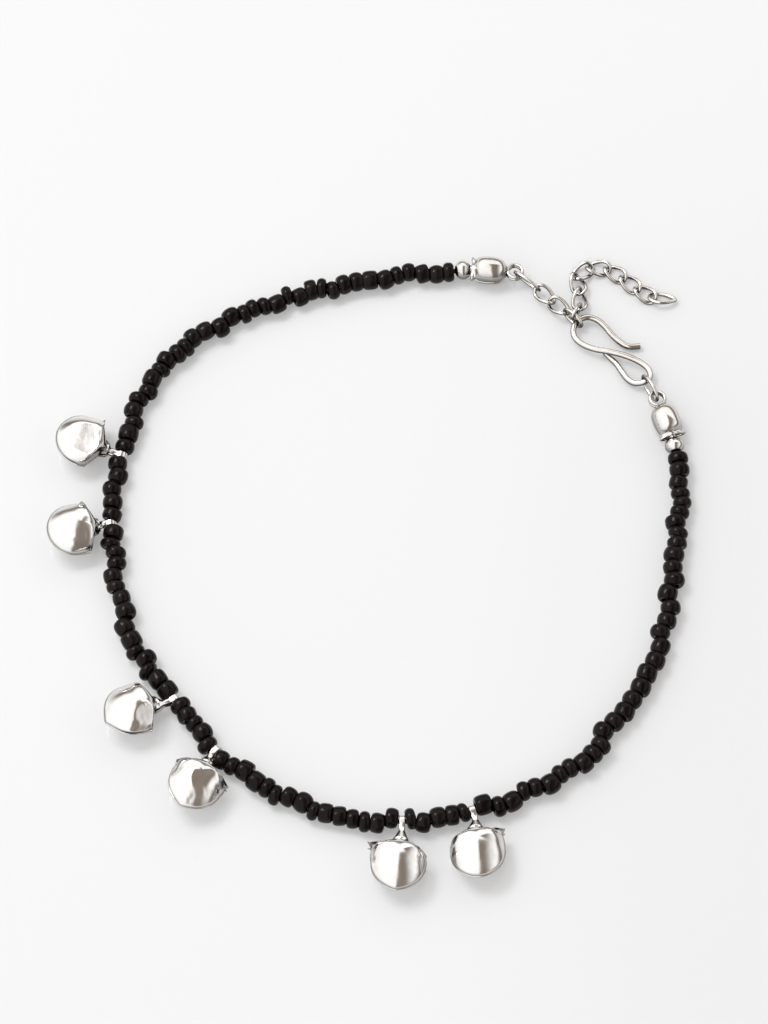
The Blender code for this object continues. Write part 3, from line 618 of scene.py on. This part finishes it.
bell_silver = silver("bell_silver", (0.92, 0.90, 0.87), 0.50, 0.15, 420.0, 0.00006)
for number, (bell, fold) in enumerate(zip(BELLS, BELL_FOLDS), 1):
    reach = bell["reach"] * 2 * BELL_RADIUS
    turn = math.radians(bell["turn"])
    tilt = bell_tilt(reach, turn)
    point, direction = along(STRING_PATH, bell_station(bell))
    place = level_frame(point, direction, STRING_HEIGHT) @ Matrix.Rotation(-tilt, 4, "Y")
    whole = bmesh.new()
    for upper in (True, False):
        cup = stamp_cup(reach / math.cos(tilt), turn, fold, upper, number * 3.1 + upper)
        half_mesh = bpy.data.meshes.new("cup")
        cup.to_mesh(half_mesh)
        cup.free()
        whole.from_mesh(half_mesh)
    bmesh.ops.remove_doubles(whole, verts=whole.verts, dist=0.00002)
    bmesh.ops.recalc_face_normals(whole, faces=whole.faces)
    crown = max(whole.verts, key=lambda vert: vert.co.z)
    if crown.normal.z < 0:
        bmesh.ops.reverse_faces(whole, faces=whole.faces)
    bmesh.ops.transform(whole, matrix=place, verts=whole.verts)
    for vert in whole.verts:
        vert.co.z = max(vert.co.z, 2 * BELL_SETTLE)
    item = mesh_item("folded_bell_%d" % number, whole, Matrix.Identity(4))
    wall = item.modifiers.new("sheet", "SOLIDIFY")
    wall.thickness = BELL_SHEET * 0.85
    wall.offset = -1.0
    show(item, bell_silver, "silver", "bell_%d" % number)


# Clasp hook: one length of round nickel-silver wire, bent to a long S with its eye wound
# round a jump ring and its cut end tucked under the shank.
WIRE_LINK = 0.55 * MM
LINK_LENGTH = 4.1 * MM
LINK_WIDTH = 2.7 * MM
LINK_GAP = 0.15 * MM
LINK_LEAN = (LINK_WIDTH - WIRE_LINK) / 4 * math.tan(math.radians(40))
LINK_PITCH = LINK_LENGTH - 2 * WIRE_LINK - LINK_GAP
HOOK_WIRE = 0.9 * MM
HOOK_ROUTE = [
    (40.2, 35.6, 0.6), (38.2, 35.6, 0.7), (36.4, 37.0, 0.8), (35.1, 38.6, 1.0),
    (33.9, 39.7, 1.15), (32.4, 40.1, 1.3), (30.9, 39.4, 1.35), (30.3, 38.1, 1.3),
    (30.5, 36.7, 1.3), (31.7, 35.5, 1.35), (33.5, 34.7, 1.45), (35.5, 34.3, 1.5),
    (37.7, 33.7, 1.45), (39.8, 32.8, 1.3), (41.2, 31.6, 1.3), (41.5, 30.3, 1.35),
    (40.8, 29.4, 1.5), (39.3, 29.3, 1.05), (38.2, 30.1, 0.75), (37.4, 31.4, 0.55),
    (36.6, 32.8, 0.45), (35.7, 33.8, 0.45), (34.9, 34.8, 0.45),
]
HOOK_EYE_POINT = 16
wire_silver = silver("drawn_wire", (0.86, 0.82, 0.77), 0.07, 0.12, 1500.0, 0.00003)
hook_path = smooth_path([Vector(point) * MM for point in HOOK_ROUTE], 10)
wire_piece("clasp_hook", hook_path, HOOK_WIRE, False, wire_silver, "silver", "hook")


# Jump rings, cut from a coil of thinner wire and closed with pliers: one joins the first cap
# to the chain, the other joins the second cap to the eye of the hook.
RING_WIRE = 0.5 * MM
RING_HALF_WIDTH = 1.4 * MM
RING_SEAT = 0.3
LEAD_ROUTE = [(25.1, 44.8, 1.45), (27.2, 42.9, 1.1), (29.3, 41.0, 1.25), (31.4, 38.8, 1.5)]


def wire_frame(start, end, roll):
    """Return a frame midway between two points, with X from one to the other."""
    ahead = (end - start).normalized()
    turned = ahead.to_track_quat("X", "Z").to_matrix().to_4x4()
    return Matrix.Translation((start + end) / 2) @ turned @ Matrix.Rotation(math.radians(roll), 4, "X")


def oval(half_length, half_width, lean, count=48):
    """Return a closed oval whose two ends lean opposite ways."""
    return [Vector((half_length * math.cos(turn), half_width * math.sin(turn), lean * math.sin(2 * turn)))
            for turn in (2 * math.pi * index / count for index in range(count))]


def jump_ring(number, start, end, roll):
    """Oval ring between two loops."""
    half_length = (end - start).length / 2 + (RING_WIRE + LINK_GAP) / 2
    place = wire_frame(start, end, roll)
    points = [place @ point for point in oval(half_length, RING_HALF_WIDTH, 0.0)]
    wire_piece("closed_ring_%d" % number, points, RING_WIRE, True, wire_silver, "silver",
               "jump_ring_%d" % number)


lead_path = smooth_path([Vector(point) * MM for point in LEAD_ROUTE])
joints = [lead_path[0]]
for point in lead_path:
    while (point - joints[-1]).length >= LINK_PITCH and len(joints) <= 3:
        joints.append(joints[-1] + (point - joints[-1]).normalized() * LINK_PITCH)
for number in (1, 2):
    end = string_end(number)[0]
    loop = Vector((end.x, end.y, CAP_DIAMETER / 2))
    if number == 1:
        toward = (joints[0] - loop).normalized()
        jump_ring(1, loop + toward * CAP_LOOP_RADIUS * RING_SEAT, joints[0], 105.0)
    else:
        eye = Vector(HOOK_ROUTE[HOOK_EYE_POINT]) * MM
        toward = (loop - eye).normalized()
        seat = loop - toward * CAP_LOOP_RADIUS * RING_SEAT
        jump_ring(2, eye - toward * (HOOK_WIRE + LINK_GAP) / 2, seat, 85.0)


# Extension chain: oval links of drawn wire, each twisted so that the row lies flat. The hook
# holds the third link, and the free end lies in a curl on the table.
HELD_LINK_ROLL = 82.0
TAIL_START = (31.8, 42.9)
TAIL_LINKS = [
    {"heading": 86.0, "slack": 0.1, "roll": 30.0},
    {"heading": 104.0, "slack": 0.2, "roll": 20.0},
    {"heading": 38.0, "slack": 0.3, "roll": 0.0},
    {"heading": -4.0, "slack": 0.4, "roll": 0.0},
    {"heading": -34.0, "slack": 0.2, "roll": 0.0},
    {"heading": -42.0, "slack": 0.1, "roll": 0.0},
    {"heading": -34.0, "slack": 0.1, "roll": 0.0},
]
LEAF_HEADING = -6.0
LEAF_SLACK = 0.5
LEAF_ROLL = -25.0


def chain_link(number, start, end, lean, roll):
    """One oval link between two joints."""
    place = wire_frame(start, end, roll)
    level_points = oval((LINK_LENGTH - WIRE_LINK) / 2, (LINK_WIDTH - WIRE_LINK) / 2, lean)
    wire_piece("oval_link_%d" % number, [place @ point for point in level_points], WIRE_LINK, True,
               wire_silver, "silver", "chain_link_%d" % number)


def heading_vector(degrees):
    """Return a level direction."""
    return Vector((math.cos(math.radians(degrees)), math.sin(math.radians(degrees)), 0.0))


def rest_height(points, roll):
    """Return the height at which a rolled loop of wire just touches the surface."""
    turn = math.radians(roll)
    return WIRE_LINK / 2 - min(point.y * math.sin(turn) + point.z * math.cos(turn) for point in points)


chain_link(1, joints[0], joints[1], -LINK_LEAN, 0.0)
chain_link(2, joints[1], joints[2], -LINK_LEAN, 0.0)
chain_link(3, joints[2], joints[3], 0.0, HELD_LINK_ROLL)
ahead = (joints[3] - joints[2]).normalized()
roll = math.radians(HELD_LINK_ROLL)
level = Vector((-ahead.y, ahead.x, 0.0)).normalized()
across = level * math.cos(roll) + Vector((0.0, 0.0, math.sin(roll)))
upper_wire = (joints[2] + joints[3]) / 2 + across * (LINK_WIDTH - WIRE_LINK) / 2
drop = upper_wire.z - LINK_LEAN - WIRE_LINK / 2
onward = (Vector((TAIL_START[0] * MM, TAIL_START[1] * MM, upper_wire.z)) - upper_wire).normalized()
toward = (onward * math.sqrt(LINK_PITCH ** 2 - drop ** 2) - Vector((0.0, 0.0, drop))).normalized()
start = upper_wire - toward * (WIRE_LINK + LINK_GAP) / 2
joint = start + toward * LINK_PITCH
chain_link(4, start, joint, 0.0, 90.0)
before = toward
flat_oval = oval((LINK_LENGTH - WIRE_LINK) / 2, (LINK_WIDTH - WIRE_LINK) / 2, LINK_LEAN, 12)
for number, row in enumerate(TAIL_LINKS, 5):
    ahead = heading_vector(row["heading"])
    start = joint - before * row["slack"] * WIRE_LINK
    start.z = rest_height(flat_oval, row["roll"])
    joint = start + ahead * LINK_PITCH
    chain_link(number, start, joint, LINK_LEAN, row["roll"])
    before = ahead


# Leaf: the chain's last drop, a length of the same wire bent round at its root and pinched to
# a point at its tip.
LEAF_LENGTH = 3.9 * MM
LEAF_WIDTH = 2.5 * MM
LEAF_PINCH = 0.3
LEAF_STEPS = 48
start = joint - before * LEAF_SLACK * WIRE_LINK
end = start + heading_vector(LEAF_HEADING) * LINK_PITCH
points = []
for index in range(LEAF_STEPS):
    turn = 2 * math.pi * index / LEAF_STEPS
    width = LEAF_WIDTH * ((1 - math.cos(turn)) / 2) ** LEAF_PINCH
    points.append(Vector((LEAF_LENGTH / 2 * math.cos(turn), width / 2 * math.sin(turn), 0.0)))
height = Vector((0.0, 0.0, rest_height(points, LEAF_ROLL)))
plan = Vector((1.0, 1.0, 0.0))
shift = LEAF_LENGTH / 2 - (end - start).length / 2 - (WIRE_LINK + LINK_GAP) / 2
place = wire_frame(start * plan + height, end * plan + height, LEAF_ROLL)
place = place @ Matrix.Translation((shift, 0, 0))
wire_piece("leaf_end", [place @ point for point in points], WIRE_LINK, True, wire_silver, "silver",
           "leaf_drop")


# The table: a sheet of glossy white board, faintly lit from below as in a light tent, so every
# piece has a soft contact shadow and a faint reflection.
bm = bmesh.new()
bmesh.ops.create_grid(bm, x_segments=1, y_segments=1, size=3.0)
floor_mesh = bpy.data.meshes.new("white_table")
bm.to_mesh(floor_mesh)
bm.free()
floor = bpy.data.objects.new("white_table", floor_mesh)
bpy.context.scene.collection.objects.link(floor)
board, tree, shader = node_material("glossy_white_board")
shader.inputs["Base Color"].default_value = (0.53, 0.53, 0.535, 1.0)
shader.inputs["Roughness"].default_value = 0.12
shader.inputs["Emission Color"].default_value = (1.0, 1.0, 1.0, 1.0)
shader.inputs["Emission Strength"].default_value = 0.275
floor.data.materials.append(board)

# Soft studio light: a pale room that darkens to warm grey low on its walls, one large soft
# lamp from the upper left, and the dim screen at the near right that the metal mirrors.
world = bpy.data.worlds.new("pale_room")
bpy.context.scene.world = world
world.use_nodes = True
tree = world.node_tree
sky = tree.nodes["Background"]
look = tree.nodes.new("ShaderNodeTexCoord").outputs["Generated"]
split = add_node(tree, "ShaderNodeSeparateXYZ", [(look, "Vector")])


def ramp_between(source, low, high, start, stop):
    """Return a smooth change from one value to another as a socket grows."""
    node = add_node(tree, "ShaderNodeMapRange", [(source, "Value")], From_Min=low, From_Max=high,
                    To_Min=start, To_Max=stop, interpolation_type="SMOOTHSTEP")
    return node.outputs["Result"]


def product(a, b):
    """Return the product of two sockets."""
    node = add_node(tree, "ShaderNodeMath", [(a, 0), (b, 1)], operation="MULTIPLY")
    return node.outputs["Value"]


across, depth, up = split.outputs


def blend_colour(factor, first, second):
    """Return a mix of two colours, either of which may be a socket."""
    node = add_node(tree, "ShaderNodeMix", [(factor, "Factor")], data_type="RGBA")
    for index, colour in ((6, first), (7, second)):
        if isinstance(colour, tuple):
            node.inputs[index].default_value = (*colour, 1.0)
        else:
            tree.links.new(colour, node.inputs[index])
    return node.outputs[2]


PALE_WALL = (1.20, 1.20, 1.20)
WARM_SKIRTING = (0.20, 0.175, 0.155)
WARM_SCREEN = (0.235, 0.195, 0.165)
slant = add_node(tree, "ShaderNodeMath", [(across, 0), (depth, 1)], operation="ADD").outputs["Value"]
skirting = product(ramp_between(up, 0.20, 0.42, 1.0, 0.0), ramp_between(slant, -0.35, 0.35, 0.12, 1.0))
right_edge = ramp_between(across, 0.34, 0.95, 1.0, 0.0)
far_edge = ramp_between(depth, 0.44, 0.50, 1.0, 0.0)
screen = product(product(ramp_between(across, 0.02, 0.06, 0.0, 1.0), right_edge), far_edge)
room = blend_colour(skirting, PALE_WALL, WARM_SKIRTING)
room = blend_colour(screen, room, WARM_SCREEN)
tree.links.new(room, sky.inputs["Color"])
sky.inputs["Strength"].default_value = 1.0

lamp = bpy.data.lights.new("soft_lamp", "AREA")
lamp.shape = "RECTANGLE"
lamp.size = 0.45
lamp.size_y = 0.33
lamp.energy = 4.6
lamp_item = bpy.data.objects.new("soft_lamp", lamp)
lamp_item.location = (-0.45, 0.35, 0.9)
lamp_item.rotation_euler = (Vector((0, 0, 0)) - lamp_item.location).to_track_quat("-Z", "Y").to_euler()
bpy.context.scene.collection.objects.link(lamp_item)

# The camera: over the near edge of the table with a long lens, looking steeply down.
AIM = Vector((2.1, 8.9, 0.0)) * MM
VIEW_RISE = math.radians(66)
camera = bpy.data.cameras.new("camera")
camera.lens = 132.4
camera.sensor_width = 36.0
camera_item = bpy.data.objects.new("camera", camera)
camera_item.location = AIM + Vector((0, -math.cos(VIEW_RISE), math.sin(VIEW_RISE))) * 0.55
camera_item.rotation_euler = (math.pi / 2 - VIEW_RISE, 0, 0)
bpy.context.scene.collection.objects.link(camera_item)
bpy.context.scene.camera = camera_item
bpy.context.scene.view_settings.view_transform = "Standard"
